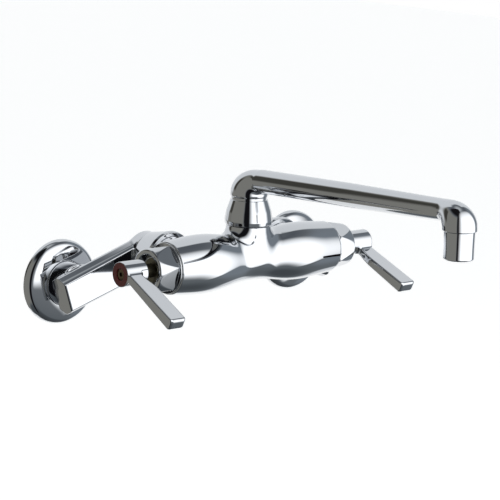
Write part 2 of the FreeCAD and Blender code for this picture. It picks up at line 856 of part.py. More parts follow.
def main():
    os.makedirs("parts", exist_ok=True)
    save("faucet_body", faucet_body())
    save("spout", spout())
    save("spout_nut", spout_nut())
    save("spout_retainer", spout_retainer())
    save("spout_seals", spout_seals())
    save("aerator_housing", aerator_housing())
    save("aerator_insert", aerator_insert())
    save("aerator_washer", aerator_washer())
    save("cold_bonnet", bonnet(bonnet_turn_right))
    save("hot_bonnet", mirrored(bonnet(bonnet_turn_left)))
    save_pair("cartridge_housing", cartridge_housing())
    save_pair("housing_seal", housing_seal())
    save_pair("stem", dropped(stem()))
    save_pair("stem_seal", stem_seal())
    save_pair("plunger", plunger())
    save_pair("seat_washer", seat_washer())
    save("cold_lever_handle", dropped(turned_over(mirrored(lever_handle()))))
    save("hot_lever_handle", dropped(mirrored(lever_handle())))
    save_pair("index_ring", index_ring())
    save_pair("handle_screw", handle_screw())
    save_pair("union_nut", moved(union_nut(), half_inlets))
    save_pair("union_washer", moved(union_washer(), half_inlets))
    save_pair("union_tail", moved(union_tail(), half_inlets))
    save_pair("supply_arm", fallen(supply_arm()))
    save_pair("wall_flange", fallen(moved(wall_flange(), arm_length)))


main()
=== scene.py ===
import math

import bmesh
import bpy
import numpy as np
from mathutils import Matrix, Vector


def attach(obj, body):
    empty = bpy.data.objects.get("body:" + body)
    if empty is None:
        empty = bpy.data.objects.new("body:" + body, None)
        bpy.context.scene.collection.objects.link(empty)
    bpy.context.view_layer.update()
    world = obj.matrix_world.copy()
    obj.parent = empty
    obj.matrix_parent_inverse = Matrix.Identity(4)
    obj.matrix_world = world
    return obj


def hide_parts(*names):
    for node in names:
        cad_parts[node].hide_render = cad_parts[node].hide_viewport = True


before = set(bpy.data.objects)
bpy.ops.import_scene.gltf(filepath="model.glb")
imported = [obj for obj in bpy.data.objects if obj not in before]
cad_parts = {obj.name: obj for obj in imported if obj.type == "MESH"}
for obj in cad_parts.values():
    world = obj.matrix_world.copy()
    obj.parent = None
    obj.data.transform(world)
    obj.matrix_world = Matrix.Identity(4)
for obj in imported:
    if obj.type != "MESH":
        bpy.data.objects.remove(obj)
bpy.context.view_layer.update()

# Lengths below are in millimetres, about the body's own centre: X is the body axis and Z = 0 is
# its height. BODY_CENTRE moves them into the frame. A name with EDGE is the width over which a
# form's edge is rounded, a name with COVE that of the fillet between two forms.
BODY_STAND_OFF = 76.2
HALF_INLETS = 50.8
ARM_LENGTH = 59.05
ARM_FALL = math.radians(17.9)
ARM_DROP = ARM_LENGTH * math.sin(ARM_FALL)
BODY_CENTRE = np.array([0.0, -BODY_STAND_OFF, ARM_DROP])

# Body casting
BARREL_OUTLINE = [(0, 15.9), (12, 16.4), (24, 18.3), (36, 19.9), (48, 20.2), (60, 19.4), (72.6, 18.3)]
BARREL_END = 72.6
BARREL_EDGE = 0.9
TURNED_EDGE = 0.5
NECK_RADIUS = 15.5
NECK_SHOULDER = 23.2
NECK_COVE = 9.0
NECK_THREAD_RADIUS = 13.0
NECK_TOP = 33.0
# Below its shoulder the neck widens by this share of the depth, and narrows again below the mark
NECK_FLARE = 0.08
NECK_FLARE_DEPTH = 7.0
# Inside the barrel the neck fades out around this height, so its root leaves no crease
NECK_ROOT = -3.0
NECK_ROOT_EDGE = 14.0
NECK_BOTTOM = -20.0
INLET_BOSS_RADIUS = 16.0
INLET_BOSS_END = 21.6
INLET_COVE = 4.0
UNION_THREAD_RADIUS = 13.5
UNION_FACE = 31.2

# Union nuts, supply arms and flanges
UNION_NUT_FRONT = 21.85
UNION_NUT_BACK = 42.45
UNION_NUT_BIG = 19.7
UNION_NUT_SMALL = 16.3
UNION_LIP_FRONT = 37.05
UNION_NUT_CROWN = 2.4
UNION_NUT_CROWN_DROP = 0.8
TAIL_RADIUS = 9.4
EYE_FRONT = 42.7
EYE_RADIUS = 15.6
EYE_THICKNESS = 12.5
EYE_EDGE = 1.0
EYE_BACK_CHAMFER = 3.0
EYE_CHAMFER_EDGE = 1.5
EYE_COVE = 2.0
BAR_FRONT = 43.6
BAR_MIDDLE_DEPTH = 7.5
BAR_DEPTH = (11.5, 14.0)
BAR_FRONT_WIDTH = (23.2, 21.4)
BAR_MIDDLE_WIDTH = 27.8
BAR_BACK_WIDTH = 21.5
BAR_OVERRUN = 16.2
BAR_CHAMFER = 1.1
BAR_CHAMFER_EDGE = 0.4
BAR_RIDGE_EDGE = 1.2
BAR_END_EDGE = 0.6
BAR_FACE_EDGE = 0.5
BOSS_RADIUS = 15.6
BOSS_START = 52.5
BOSS_END = 72.7
BOSS_EDGE = 1.0
BOSS_COVE = 1.6
WALL_THREAD_RADIUS = 9.15
WALL_THREAD_LENGTH = 15.0
WALL_THREAD_EDGE = 0.6
FLANGE_RADIUS = 29.55
FLANGE_SIDE = 1.3
FLANGE_BEND = 6.0
FLANGE_BEND_SLOPE = math.radians(20.0)
FLANGE_HOLE_SLOPE = math.radians(5.0)
FLANGE_WALL = 1.2
RUNNING_FIT = 0.08
THREAD_FIT = 0.04

# Bonnets
BONNET_FLATS = 30.0
COLLAR_RADIUS = 17.6
COLLAR_START = 72.72
COLLAR_END = 73.7
COLLAR_EDGE = 0.4
HEX_START = 73.6
HEX_CHAMFER = 1.8
HEX_CONE_EDGE = 0.25
HEX_CHAMFER_EDGE = 0.3
HEX_END_EDGE = 0.4
BONNET_END = 89.5
BONNET_END_ROUND = 1.4
CONE_START_RADIUS = 17.4
CONE_END_RADIUS = 15.0
DISH_RADIUS = 11.6
DISH_FLOOR_RADIUS = 8.9
DISH_DEPTH = 5.0
DISH_STEP = 0.6
DISH_EDGE = 0.8
BONNET_TURN = {"hot": 11.6, "cold": 30.0}

# Handles
HUB_START = 94.0
HUB_END = 112.2
HUB_RADIUS = 8.6
HUB_EDGE = 0.9
HUB_RIM = 0.45
HUB_COVE = 1.8
LEVER_LENGTH = 59.0
LEVER_DROP = math.radians(25.0)
LEVER_OUTER = 111.6
LEVER_ROOT_INNER = 100.5
LEVER_TIP_INNER = 98.2
LEVER_FLARE_START = 9.0
LEVER_FLARE_LENGTH = 15.0
# Height of the blade's top and bottom over the hub's axis, at its root and at its tip
LEVER_TOP = (5.1, 3.6)
LEVER_BOTTOM = (-0.4, -4.5)
LEVER_NOSE_ROUND = 2.4
LEVER_CORNER_ROUND = 2.8
LEVER_EDGE = 1.5
LEVER_ROOT_EDGE = 0.5
RING_THICKNESS = 1.6
RING_OUTER = 8.11
RING_HOLE = 4.1
RING_ROUND = 0.4
RING_SUNK = 0.1
SCREW_HOLE_RADIUS = 3.74
SCREW_HOLE_DEPTH = 3.4
SCREW_HOLE_EDGE = 0.25

# Spout
SPOUT_REACH = 203.2
SPOUT_RISE = math.radians(2.3)
SPOUT_FOOT = 43.5
COLUMN_RADIUS = 13.2
COLUMN_HEIGHT = 2.2
COLUMN_CORNER = 1.4
# Rounded rim of the spout's foot and of its outlet, as (distance from the end, cut off the radius)
COLUMN_RIM = [(0, 0.5), (0.15, 0.15), (0.5, 0), (COLUMN_HEIGHT - 0.4, 0)]
OUTLET_LIP = 0.6
OUTLET_RIM = [(0.3, 0), (0.5, 0.1), (OUTLET_LIP, 0.35)]
RUN_RADII = [(0, 8.2), (0.5, 8.1), (0.8, 7.5), (1, 7.1)]
OUTLET_RADIUS = 11.2
OUTLET_CORNER = 3.4
# Share of an elbow's sweep in which its radius has changed in full
ELBOW_SETTLE = 0.9
ELBOW_STEPS = 36
RUN_STEPS = 40
SPOUT_NUT_OUTLINE = [(23.45, 13.04), (23.45, 16.2, 1.1), (26.6, 16.75, 2.0), (33.3, 15.7, 12.0),
                     (41.2, 13.0, 0.5), (41.2, 12.5, 0.1), (43.25, 12.5, 0.5), (43.25, 10.8)]
AERATOR_RADIUS = 10.0
AERATOR_MIDDLE_RADIUS = 9.75
AERATOR_LOW_RADIUS = 9.8
AERATOR_HEIGHT = 18.6
AERATOR_MOUTH = 7.2
AERATOR_LIP = 2.0
AERATOR_BORE = 7.9
AERATOR_NECK_RADIUS = 9.1
AERATOR_NECK_TOP = 4.5
AERATOR_SEAM = 0.25

# Meshing: cell size of each piece's grid, and how its points settle on the surface
FINE, MEDIUM, COARSE = ((0.3, 0.5, 0.6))
SETTLE_ROUNDS = 6


# Distance functions: negative inside, in millimetres

def blend(a, b, width):
    """Union of two forms with a soft cove of about the given width between them."""
    share = np.clip(0.5 + 0.5 * (b - a) / width, 0, 1)
    return b + (a - b) * share - width * share * (1 - share)


def soften(a, b, width):
    """Overlap of two forms with its edge rounded over about the given width."""
    return -blend(-a, -b, width)


def disc_stack(along, radius, start, end, outer, edge):
    """Round bar between two stations with a rounded rim."""
    return soften(radius - outer, np.maximum(start - along, along - end), edge)


def radial(a, b):
    return np.sqrt(a * a + b * b)


def spline_radius(stations, along):
    """Natural cubic curve through (station, radius) pairs, level at station 0."""
    xs = np.array([-s for s, _ in stations[:0:-1]] + [s for s, _ in stations], float)
    rs = np.array([r for _, r in stations[:0:-1]] + [r for _, r in stations], float)
    count = len(xs)
    gaps = np.diff(xs)
    system = np.eye(count)
    wanted = np.zeros(count)
    for i in range(1, count - 1):
        system[i, i - 1:i + 2] = gaps[i - 1], 2 * (gaps[i - 1] + gaps[i]), gaps[i]
        wanted[i] = 6 * ((rs[i + 1] - rs[i]) / gaps[i] - (rs[i] - rs[i - 1]) / gaps[i - 1])
    bend = np.linalg.solve(system, wanted)
    place = np.clip(along, xs[0], xs[-1])
    i = np.clip(np.searchsorted(xs, place) - 1, 0, count - 2)
    left = place - xs[i]
    right = xs[i + 1] - place
    gap = gaps[i]
    curve = (bend[i] * right ** 3 + bend[i + 1] * left ** 3) / (6 * gap)
    curve += (rs[i] / gap - bend[i] * gap / 6) * right
    curve += (rs[i + 1] / gap - bend[i + 1] * gap / 6) * left
    return curve


def rounded_corner(a, b, radius):
    """Overlap of two forms that meet square, with their corner rounded to a true radius."""
    a = a + radius
    b = b + radius
    return radial(np.maximum(a, 0), np.maximum(b, 0)) + np.minimum(np.maximum(a, b), 0) - radius


def body_form(x, y, z):
    """Waisted barrel with its neck and two rear inlets, coved together."""
    barrel = radial(y, z) - spline_radius(BARREL_OUTLINE, x)
    barrel = soften(barrel, np.abs(x) - BARREL_END, BARREL_EDGE)
    around_neck = radial(x, y)
    flare = NECK_FLARE * (NECK_FLARE_DEPTH - np.abs(NECK_SHOULDER - NECK_FLARE_DEPTH - z))
    neck = disc_stack(z, around_neck, NECK_BOTTOM, NECK_SHOULDER, NECK_RADIUS + flare, TURNED_EDGE)
    neck = soften(neck, NECK_ROOT - z, NECK_ROOT_EDGE)
    form = blend(barrel, neck, NECK_COVE)
    thread = disc_stack(z, around_neck, 0, NECK_TOP, NECK_THREAD_RADIUS, TURNED_EDGE)
    form = np.minimum(form, thread)
    around_inlet = radial(np.abs(x) - HALF_INLETS, z)
    boss = disc_stack(y, around_inlet, 0, INLET_BOSS_END, INLET_BOSS_RADIUS, TURNED_EDGE)
    form = blend(form, boss, INLET_COVE)
    thread = disc_stack(y, around_inlet, 0, UNION_FACE, UNION_THREAD_RADIUS, TURNED_EDGE)
    return np.minimum(form, thread)


def bonnet_form(turn):
    """Hexagon under a long cone, with a round collar behind and a dished end."""
    base = HEX_START + HEX_CHAMFER
    slope = (CONE_START_RADIUS - CONE_END_RADIUS) / (BONNET_END - base)
    back_slope = (CONE_START_RADIUS - BONNET_FLATS / 2) / HEX_CHAMFER
    dish_side = DISH_DEPTH - DISH_STEP

    def form(x, y, z):
        around = radial(y, z)
        angle = np.arctan2(z, -y) - math.radians(turn + 30)
        angle = (angle + math.pi / 6) % (math.pi / 3) - math.pi / 6
        flats = around * np.cos(angle) - BONNET_FLATS / 2
        cone = around - (CONE_START_RADIUS - slope * (x - base))
        back = (around - CONE_START_RADIUS + back_slope * (base - x)) / math.sqrt(1 + back_slope ** 2)
        ends = np.maximum(HEX_START - x, x - BONNET_END)
        head = soften(soften(flats, cone, HEX_CONE_EDGE), back, HEX_CHAMFER_EDGE)
        head = soften(head, ends, HEX_END_EDGE)
        past_cone = np.maximum(cone + BONNET_END_ROUND, 0)
        past_end = np.maximum(x - BONNET_END + BONNET_END_ROUND, 0)
        head = np.maximum(head, radial(past_cone, past_end) - BONNET_END_ROUND)
        collar = disc_stack(x, around, COLLAR_START, COLLAR_END, COLLAR_RADIUS, COLLAR_EDGE)
        share = np.clip((x - BONNET_END + dish_side) / dish_side, 0, 1.3)
        dish_wall = DISH_FLOOR_RADIUS + (DISH_RADIUS - DISH_FLOOR_RADIUS) * share
        dish = np.maximum(around - dish_wall, BONNET_END - DISH_DEPTH - x)
        return soften(np.minimum(head, collar), -dish, DISH_EDGE)
    return form


def lever_form(x, s, h):
    """Handle before it is dropped: x along the body axis, s along the blade, h above it."""
    around = radial(s, h)
    hub = disc_stack(x, around, HUB_START, HUB_END, HUB_RADIUS, HUB_EDGE)
    share = np.clip((s - LEVER_FLARE_START) / LEVER_FLARE_LENGTH, 0, 1)
    share = share * share * (3 - 2 * share)
    inner = LEVER_ROOT_INNER + (LEVER_TIP_INNER - LEVER_ROOT_INNER) * share
    top = LEVER_TOP[0] + (LEVER_TOP[1] - LEVER_TOP[0]) * s / LEVER_LENGTH
    bottom = LEVER_BOTTOM[0] + (LEVER_BOTTOM[1] - LEVER_BOTTOM[0]) * s / LEVER_LENGTH
    faces = np.abs(h - (top + bottom) / 2) - (top - bottom) / 2
    side_view = rounded_corner(faces, s - LEVER_LENGTH, LEVER_NOSE_ROUND)
    sides = np.abs(x - (LEVER_OUTER + inner) / 2) - (LEVER_OUTER - inner) / 2
    plan = rounded_corner(sides, s - LEVER_LENGTH, LEVER_CORNER_ROUND)
    blade = soften(soften(side_view, np.maximum(sides, plan), LEVER_EDGE), -s, LEVER_ROOT_EDGE)
    form = np.maximum(blend(hub, blade, HUB_COVE), x - HUB_END)
    recess = np.maximum(around - (HUB_RADIUS - HUB_RIM), HUB_END - RING_THICKNESS - x)
    socket = np.maximum(around - SCREW_HOLE_RADIUS, HUB_END - SCREW_HOLE_DEPTH - x)
    return soften(form, -np.minimum(recess, socket), SCREW_HOLE_EDGE)


def arm_form(a, y, c):
    """Supply arm before it is dropped: a along the bar, y into the wall, c across the bar."""
    share = np.clip(a / (ARM_LENGTH + BAR_OVERRUN), -0.3, 1.3)
    across = np.abs(c)
    behind = y - BAR_FRONT
    front = BAR_FRONT_WIDTH[0] / 2 + (BAR_FRONT_WIDTH[1] - BAR_FRONT_WIDTH[0]) / 2 * share
    middle = BAR_MIDDLE_WIDTH / 2
    depth = BAR_DEPTH[0] + (BAR_DEPTH[1] - BAR_DEPTH[0]) * share
    lean = (middle - front) / BAR_MIDDLE_DEPTH
    draft = (across - front - lean * behind) / np.sqrt(1 + lean * lean)
    back_lean = (middle - BAR_BACK_WIDTH / 2) / (depth - BAR_MIDDLE_DEPTH)
    rear = across - middle + back_lean * (behind - BAR_MIDDLE_DEPTH)
    rear = rear / np.sqrt(1 + back_lean * back_lean)
    end = a - ARM_LENGTH - BAR_OVERRUN
    bar = soften(soften(draft, rear, BAR_RIDGE_EDGE), np.maximum(end, -a), BAR_END_EDGE)
    bar = soften(bar, np.maximum(-behind, behind - depth), BAR_FACE_EDGE)
    chamfer = (np.maximum(across - front, end) - behind + BAR_CHAMFER) / math.sqrt(2)
    bar = soften(bar, chamfer, BAR_CHAMFER_EDGE)
    eye_back = EYE_FRONT + EYE_THICKNESS
    around_eye = radial(a, c)
    eye = disc_stack(y, around_eye, EYE_FRONT, eye_back, EYE_RADIUS, EYE_EDGE)
    eye_chamfer = (around_eye - EYE_RADIUS + EYE_BACK_CHAMFER + (y - eye_back)) / math.sqrt(2)
    eye = soften(eye, eye_chamfer, EYE_CHAMFER_EDGE)
    around_boss = radial(a - ARM_LENGTH, c)
    boss = disc_stack(y, around_boss, BOSS_START, BOSS_END, BOSS_RADIUS, BOSS_EDGE)
    form = blend(blend(bar, eye, EYE_COVE), boss, BOSS_COVE)
    inlet = np.maximum(around_boss - WALL_THREAD_RADIUS, BOSS_END - WALL_THREAD_LENGTH - y)
    return soften(form, -inlet, WALL_THREAD_EDGE)


# Meshing of a distance function on a grid, with each point then settled on the surface

def gradient(form, points, reach=0.02):
    """Slope of a form at each point, by central differences."""
    slopes = []
    for axis in range(3):
        step = np.zeros(3)
        step[axis] = reach
        ahead = form(*(points + step).T)
        behind = form(*(points - step).T)
        slopes.append((ahead - behind) / (2 * reach))
    return np.stack(slopes, 1)


def surface(form, low, high, cell):
    """Points, quads and normals of the form's surface within a box."""
    axes = [np.arange(low[i] - cell, high[i] + 2 * cell, cell) for i in range(3)]
    grid = np.stack(np.meshgrid(*axes, indexing="ij"), 0)
    value = form(*grid)
    inside = value < 0
    shape = np.array(value.shape) - 1
    corners = [(i, j, k) for i in (0, 1) for j in (0, 1) for k in (0, 1)]
    total = np.zeros(shape, int)
    for i, j, k in corners:
        total += inside[i:i + shape[0], j:j + shape[1], k:k + shape[2]]
    cells = np.argwhere((total > 0) & (total < 8))
    number = -np.ones(shape, int)
    number[tuple(cells.T)] = np.arange(len(cells))
    sums = np.zeros((len(cells), 3))
    counts = np.zeros(len(cells))
    for start in corners:
        for axis in range(3):
            if start[axis]:
                continue
            first = cells + start
            second = first.copy()
            second[:, axis] += 1
            a = value[tuple(first.T)]
            b = value[tuple(second.T)]
            crossing = (a < 0) != (b < 0)
            share = np.where(crossing, a / np.where(a == b, 1, a - b), 0)
            place = first.astype(float)
            place[:, axis] += share
            sums += place * crossing[:, None]
            counts += crossing
    points = np.array([a[0] for a in axes]) + cell * sums / counts[:, None]
    for _ in range(SETTLE_ROUNDS):
        slope = gradient(form, points)
        size = np.maximum((slope ** 2).sum(1), 0.05)
        move = form(*points.T)[:, None] * slope / size[:, None]
        points = points - np.clip(move, -cell / 2, cell / 2)
    quads = []
    for axis in range(3):
        u = (axis + 1) % 3
        v = (axis + 2) % 3
        trimmed = [slice(1, -1)] * 3
        trimmed[axis] = slice(0, -1)
        ahead = list(trimmed)
        ahead[axis] = slice(1, None)
        here = inside[tuple(trimmed)]
        there = inside[tuple(ahead)]
        for turned, mask in ((False, here & ~there), (True, ~here & there)):
            base = np.argwhere(mask)
            base[:, u] += 1
            base[:, v] += 1
            loop = []
            for du, dv in ((-1, -1), (0, -1), (0, 0), (-1, 0)):
                at = base.copy()
                at[:, u] += du
                at[:, v] += dv
                loop.append(number[tuple(at.T)])
            if turned:
                loop = loop[::-1]
            quads.append(np.stack(loop, 1))
    quads = np.concatenate(quads)
    normals = gradient(form, points)
    normals /= np.linalg.norm(normals, axis=1)[:, None]
    return points, quads, normals


def to_frame(points):
    """Millimetres about the body's centre to metres in the frame."""
    return (points + BODY_CENTRE) * 0.001


def add_mesh(name, points, faces, normals=None):
    """New object from points already in the frame, with smooth faces."""
    mesh = bpy.data.meshes.new(name)
    mesh.from_pydata(points.tolist(), [], [list(map(int, f)) for f in faces])
    mesh.validate()
    mesh.shade_smooth()
    if normals is not None:
        mesh.normals_split_custom_set_from_vertices(normals.tolist())
    piece = bpy.data.objects.new(name, mesh)
    bpy.context.collection.objects.link(piece)
    return piece


def formed(name, form, low, high, cell, turn=None):
    """Piece from a distance function; turn maps its local points into the body's axes."""
    points, quads, normals = surface(form, low, high, cell)
    if turn is not None:
        points, normals, flipped = turn(points, normals)
        if flipped:
            quads = quads[:, ::-1]
    return add_mesh(name, to_frame(points), quads, normals)


# Turned and swept pieces

# Rounding of a corner that names none, its largest share of a side, the half angle beyond which
# it is left straight, and the distance of the guard points beside it
CORNER_ROUND = 0.12
CORNER_SHARE = 0.45
STRAIGHT_ENOUGH = 1.53
CORNER_GUARD = 0.35


def face_outwards(piece):
    """Merges double points and turns every face of a closed piece outwards."""
    tool = bmesh.new()
    tool.from_mesh(piece.data)
    bmesh.ops.remove_doubles(tool, verts=tool.verts, dist=1e-7)
    bmesh.ops.recalc_face_normals(tool, faces=tool.faces)
    tool.to_mesh(piece.data)
    tool.free()
    piece.data.shade_smooth()


def profile(corners):
    """Closed profile with rounded corners, and a point on either side close to each rounding.

    A corner is (along, radius) or (along, radius, rounding); with a rounding of 0 it stays a point.
    """
    line = []
    count = len(corners)
    for i, corner in enumerate(corners):
        here = np.array(corner[:2], float)
        back = np.array(corners[i - 1][:2], float) - here
        ahead = np.array(corners[(i + 1) % count][:2], float) - here
        back_length = np.linalg.norm(back)
        ahead_length = np.linalg.norm(ahead)
        back /= back_length
        ahead /= ahead_length
        radius = corner[2] if len(corner) > 2 else CORNER_ROUND
        half = math.acos(max(-1, min(1, float(back @ ahead)))) / 2
        if half > STRAIGHT_ENOUGH or radius == 0:
            line.append(here)
            continue
        cut = min(radius / math.tan(half), back_length * CORNER_SHARE, ahead_length * CORNER_SHARE)
        radius = cut * math.tan(half)
        middle = here + (back + ahead) / np.linalg.norm(back + ahead) * radius / math.sin(half)
        start = here + back * cut
        end = here + ahead * cut
        sweep = math.pi - 2 * half
        steps = max(3, int(math.degrees(sweep) / 9))
        if back_length * 0.9 > cut + CORNER_GUARD:
            line.append(here + back * (cut + CORNER_GUARD))
        for step in range(steps + 1):
            share = step / steps
            a = start - middle
            b = end - middle
            mix = (math.sin((1 - share) * sweep) * a + math.sin(share * sweep) * b) / math.sin(sweep)
            line.append(middle + mix)
        if ahead_length * 0.5 > cut + CORNER_GUARD:
            line.append(here + ahead * (cut + CORNER_GUARD))
    return np.array(line)


def turned(name, corners, axis, centre=(0, 0, 0), around=144):
    """Piece turned from (along, radius) corners about X, Y or Z through a centre."""
    line = profile(corners)
    angles = np.linspace(0, 2 * math.pi, around, endpoint=False)
    along = np.repeat(line[:, 0], around)
    radius = np.repeat(line[:, 1], around)
    turn = np.tile(angles, len(line))
    one = radius * np.cos(turn)
    two = radius * np.sin(turn)
    order = {"x": (along, one, two), "y": (two, along, one), "z": (one, two, along)}[axis]
    points = np.stack(order, 1) + np.array(centre, float)
    faces = []
    rows = len(line)
    for i in range(rows):
        n = (i + 1) % rows
        for j in range(around):
            m = (j + 1) % around
            faces.append([i * around + j, i * around + m, n * around + m, n * around + j])
    piece = add_mesh(name, to_frame(points), faces)
    face_outwards(piece)
    return piece


def flange_outline(hole):
    """Outline of a flange: short straight side, tight bend and shallow dome, then back inside."""
    bend_along = BODY_STAND_OFF - FLANGE_SIDE
    bend_out = FLANGE_RADIUS - FLANGE_BEND
    dome_start = bend_out + FLANGE_BEND * math.sin(FLANGE_BEND_SLOPE)
    dome = (dome_start - hole) / (math.sin(FLANGE_BEND_SLOPE) - math.sin(FLANGE_HOLE_SLOPE))
    inner_bend = FLANGE_BEND - FLANGE_WALL
    inner_dome = dome - FLANGE_WALL
    dome_along = bend_along + (dome - FLANGE_BEND) * math.cos(FLANGE_BEND_SLOPE)
    dome_out = bend_out - (dome - FLANGE_BEND) * math.sin(FLANGE_BEND_SLOPE)
    inner_slope = math.asin((hole - dome_out) / inner_dome)
    line = [(BODY_STAND_OFF, FLANGE_RADIUS - FLANGE_WALL, 0.1), (BODY_STAND_OFF, FLANGE_RADIUS, 0.2)]

    def arc(centre_along, centre_out, radius, slopes):
        for slope in slopes:
            along = centre_along - radius * math.cos(slope)
            line.append((along, centre_out + radius * math.sin(slope), 0))

    arc(bend_along, bend_out, FLANGE_BEND, np.linspace(math.pi / 2, FLANGE_BEND_SLOPE, 22))
    arc(dome_along, dome_out, dome, np.linspace(FLANGE_BEND_SLOPE, FLANGE_HOLE_SLOPE, 14)[1:])
    arc(dome_along, dome_out, inner_dome, np.linspace(inner_slope, FLANGE_BEND_SLOPE, 10))
    arc(bend_along, bend_out, inner_bend, np.linspace(FLANGE_BEND_SLOPE, math.pi / 2, 16)[1:])
    return line


def swept(name, rings, around=96):
    """Closed tube through (y, z, angle, radius) rings whose centres lie in the plane X = 0."""
    angles = np.linspace(0, 2 * math.pi, around, endpoint=False)
    points = []
    for y, z, angle, radius in rings:
        side = radius * np.cos(angles)
        out = radius * np.sin(angles)
        points.append(np.stack([side, y + out * math.cos(angle), z + out * math.sin(angle)], 1))
    points = np.concatenate(points)
    faces = []
    for i in range(len(rings) - 1):
        for j in range(around):
            m = (j + 1) % around
            n = i + 1
            faces.append([i * around + j, i * around + m, n * around + m, n * around + j])
    faces.append(list(range(around))[::-1])
    faces.append([(len(rings) - 1) * around + j for j in range(around)])
    piece = add_mesh(name, to_frame(points), faces)
    face_outwards(piece)
    return piece


def eased(share):
    """Share of a change of radius along an elbow, level at both ends and done early."""
    share = min(1, share / ELBOW_SETTLE)
    return share * share * (3 - 2 * share)


def elbow(corner, inside, angles, radii):
    """Rings of an elbow about a corner, with its inside at a fixed distance from it."""
    rings = []
    for step in range(ELBOW_STEPS + 1):
        share = step / ELBOW_STEPS
        angle = angles[0] + (angles[1] - angles[0]) * share
        radius = radii[0] + (radii[1] - radii[0]) * eased(share)
        offset = radius + inside
        y = corner[0] + offset * math.cos(angle)
        z = corner[1] + offset * math.sin(angle)
        rings.append((y, z, angle, radius))
    return rings


def spout_rings():
    """Rings of the spout from its foot to its outlet, and the height of the outlet."""
    level = math.pi / 2 - SPOUT_RISE
    near_radius = RUN_RADII[0][1]
    far_radius = RUN_RADII[-1][1]
    rings = [(0, SPOUT_FOOT + rise, 0, COLUMN_RADIUS - trim) for rise, trim in COLUMN_RIM]
    corner = (-(COLUMN_RADIUS + COLUMN_CORNER), SPOUT_FOOT + COLUMN_HEIGHT)
    rings += elbow(corner, COLUMN_CORNER, (0, level), (COLUMN_RADIUS, near_radius))
    y, z = rings[-1][:2]
    far_corner_y = -SPOUT_REACH + OUTLET_RADIUS + OUTLET_CORNER
    far_offset = far_radius + OUTLET_CORNER
    length = (y - far_corner_y - far_offset * math.sin(SPOUT_RISE)) / math.cos(SPOUT_RISE)
    stations = np.array([s for s, _ in RUN_RADII])
    radii = np.array([r for _, r in RUN_RADII])
    for step in range(1, RUN_STEPS):
        share = step / RUN_STEPS
        ahead = length * share * math.cos(SPOUT_RISE)
        up = length * share * math.sin(SPOUT_RISE)
        radius = float(np.interp(share, stations, radii))
        rings.append((y - ahead, z + up, level, radius))
    end_z = z + length * math.sin(SPOUT_RISE)
    corner = (far_corner_y, end_z - far_offset * math.cos(SPOUT_RISE))
    rings += elbow(corner, OUTLET_CORNER, (level, math.pi), (far_radius, OUTLET_RADIUS))
    for drop, trim in OUTLET_RIM:
        rings.append((-SPOUT_REACH, corner[1] - drop, math.pi, OUTLET_RADIUS - trim))
    return rings, corner[1] - OUTLET_LIP


# Materials

# Size of the tarnish patches, the band texture's scale for bands of 1 mm, and how much rougher a
# mottled surface gets where its pattern is full
TARNISH_MM = 6.0
WAVE_SCALE = 1000 / 20
GLOSS_SPREAD = 0.15
# Kind of node that the studio's sums are made of
MATH = "ShaderNodeMath"


def linear(code):
    """Linear colour from an sRGB hex value."""
    colour = []
    for start in (0, 2, 4):
        c = int(code[start:start + 2], 16) / 255
        colour.append(c / 12.92 if c <= 0.04045 else ((c + 0.055) / 1.055) ** 2.4)
    return (*colour, 1.0)


def add(tree, kind, settings=None, *sources, **links):
    """Node of a kind with its settings, fed in the order of its sockets or by their names.

    A source is a socket, a node, whose first output is meant, or a plain number.
    """
    node = tree.nodes.new(kind)
    for key, value in (settings or {}).items():
        if key in node.inputs:
            node.inputs[key].default_value = value
        else:
            setattr(node, key, value)
    named = [(key.replace("_", " "), source) for key, source in links.items()]
    for key, source in [*enumerate(sources), *named]:
        if isinstance(source, (int, float)):
            node.inputs[key].default_value = source
        else:
            tree.links.new(getattr(source, "outputs", [source])[0], node.inputs[key])
    return node


def blank(name):
    """New material with an empty node tree."""
    material = bpy.data.materials.new(name)
    material.use_nodes = True
    material.node_tree.nodes.clear()
    return material, material.node_tree


def mottled(tree, pattern, tones, full, roughness, metallic, normal):
    """Surface whose colour and gloss follow one pattern, from a dark tone to the full one."""
    ramp = add(tree, "ShaderNodeValToRGB", {}, pattern)
    for element, position, tone in zip(ramp.color_ramp.elements, (0.35, full), tones):
        element.position = position
        element.color = linear(tone)
    spread = {"To Min": roughness, "To Max": roughness + GLOSS_SPREAD}
    gloss = add(tree, "ShaderNodeMapRange", spread, pattern)
    shader = add(tree, "ShaderNodeBsdfPrincipled", {"Metallic": metallic}, Base_Color=ramp,
                 Roughness=gloss, Normal=normal)
    add(tree, "ShaderNodeOutputMaterial", {}, shader)


def plated(name, code, roughness, speckle_mm, buff_depth):
    """Bright nickel-chrome plate: the buffed brass below leaves a very faint, slow waviness."""
    material, tree = blank(name)
    place = add(tree, "ShaderNodeTexCoord").outputs["Object"]
    noise = {"Scale": 1000 / speckle_mm, "Detail": 3.0, "Roughness": 0.45}
    waves = add(tree, "ShaderNodeTexNoise", noise, Vector=place)
    spread = {"From Min": 0.35, "From Max": 0.7, "To Min": roughness, "To Max": roughness + 0.03}
    wipe = add(tree, "ShaderNodeMapRange", spread, waves)
    bump = add(tree, "ShaderNodeBump", {"Strength": 1.0, "Distance": buff_depth}, Height=waves)
    metal = {"Base Color": linear(code), "Metallic": 1.0}
    shader = add(tree, "ShaderNodeBsdfPrincipled", metal, Roughness=wipe, Normal=bump)
    add(tree, "ShaderNodeOutputMaterial", {}, shader)
    return material


